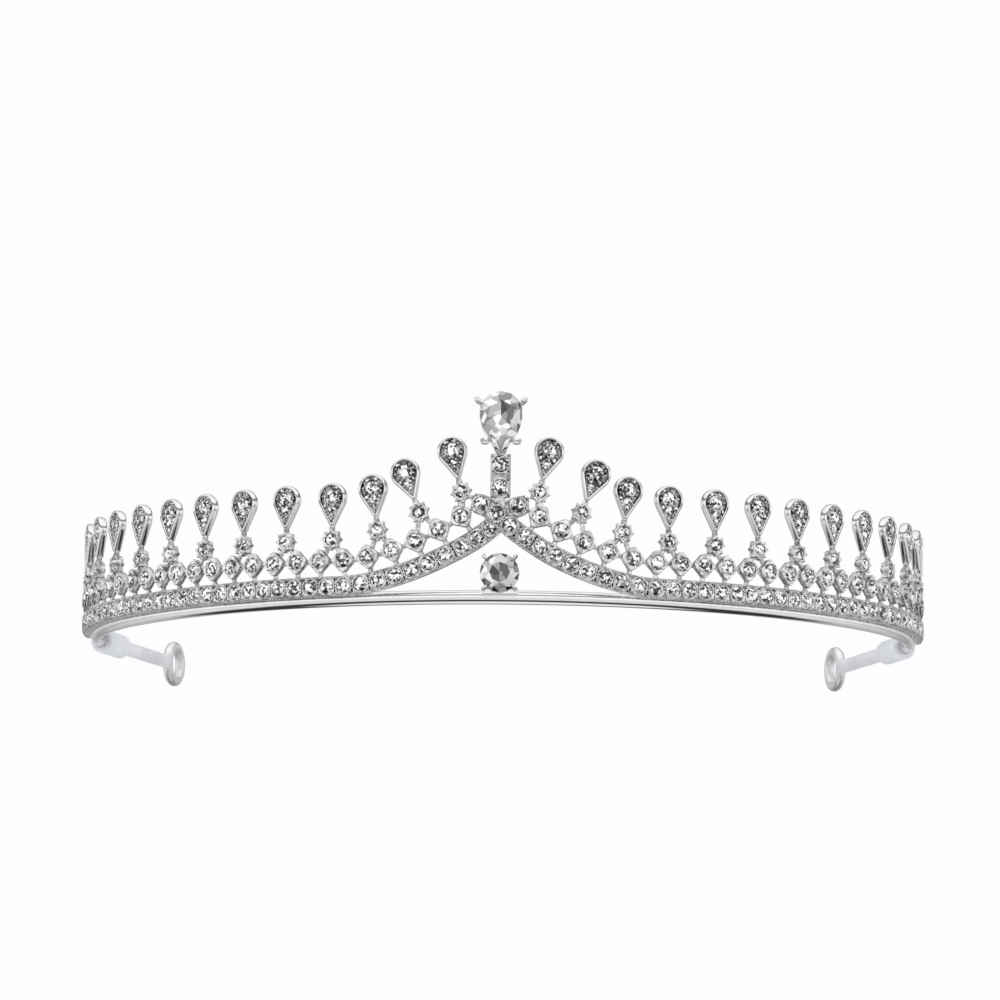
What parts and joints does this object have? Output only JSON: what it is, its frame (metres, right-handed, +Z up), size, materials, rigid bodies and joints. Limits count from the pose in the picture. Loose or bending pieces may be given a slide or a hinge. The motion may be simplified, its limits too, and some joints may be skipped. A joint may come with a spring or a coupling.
{
  "type": "bridal tiara",
  "caption": "Curved rhinestone tiara on a round wire band, with pear-shaped drops in a row, a tall centre column with a pear stone, and sleeved arms that end in eyelets.",
  "frame": {"origin": "Under the middle of the whole part, at the height of the lowest point of the eyelets, where the part stands", "axes": "+X runs from the wearer's right ear to the left ear as seen from the front (image right), +Y runs from the front of the tiara back over the head, and +Z runs up to the pear stone"},
  "size_m": [0.1496, 0.1074, 0.0375],
  "materials": {
    "plating": "bright polished rhodium-look plating on brass, a little softer on the cast settings",
    "crystal": "clear faceted rhinestones with a silvered back, each in its own cup",
    "silicone": "milky translucent silicone tube, satin"
  },
  "bodies": {
    "root": {"band_wire": "plating", "column": "plating", "column_stones": "crystal", "pear_setting": "plating", "pear_stone": "crystal", "solitaire_setting": "plating", "solitaire_stone": "crystal", "left_arm_wire": "plating", "left_sleeve": "silicone", "left_sleeve_collar": "silicone", "left_rail": "plating", "left_rail_stones": "crystal", "left_row_seats": "plating", "left_row_stones": "crystal", "left_star_seats": "plating", "left_star_stones": "crystal", "left_drop_stones": "crystal", "left_drop_1": "plating", "left_drop_2": "plating", "left_drop_3": "plating", "left_drop_4": "plating", "left_drop_5": "plating", "left_drop_6": "plating", "left_drop_7": "plating", "left_drop_8": "plating", "left_drop_9": "plating", "left_drop_10": "plating", "left_drop_11": "plating", "left_drop_12": "plating", "left_drop_13": "plating", "right_arm_wire": "plating", "right_sleeve": "silicone", "right_sleeve_collar": "silicone", "right_rail": "plating", "right_rail_stones": "crystal", "right_row_seats": "plating", "right_row_stones": "crystal", "right_star_seats": "plating", "right_star_stones": "crystal", "right_drop_stones": "crystal", "right_drop_1": "plating", "right_drop_2": "plating", "right_drop_3": "plating", "right_drop_4": "plating", "right_drop_5": "plating", "right_drop_6": "plating", "right_drop_7": "plating", "right_drop_8": "plating", "right_drop_9": "plating", "right_drop_10": "plating", "right_drop_11": "plating", "right_drop_12": "plating", "right_drop_13": "plating"}
  },
  "joints": []
}
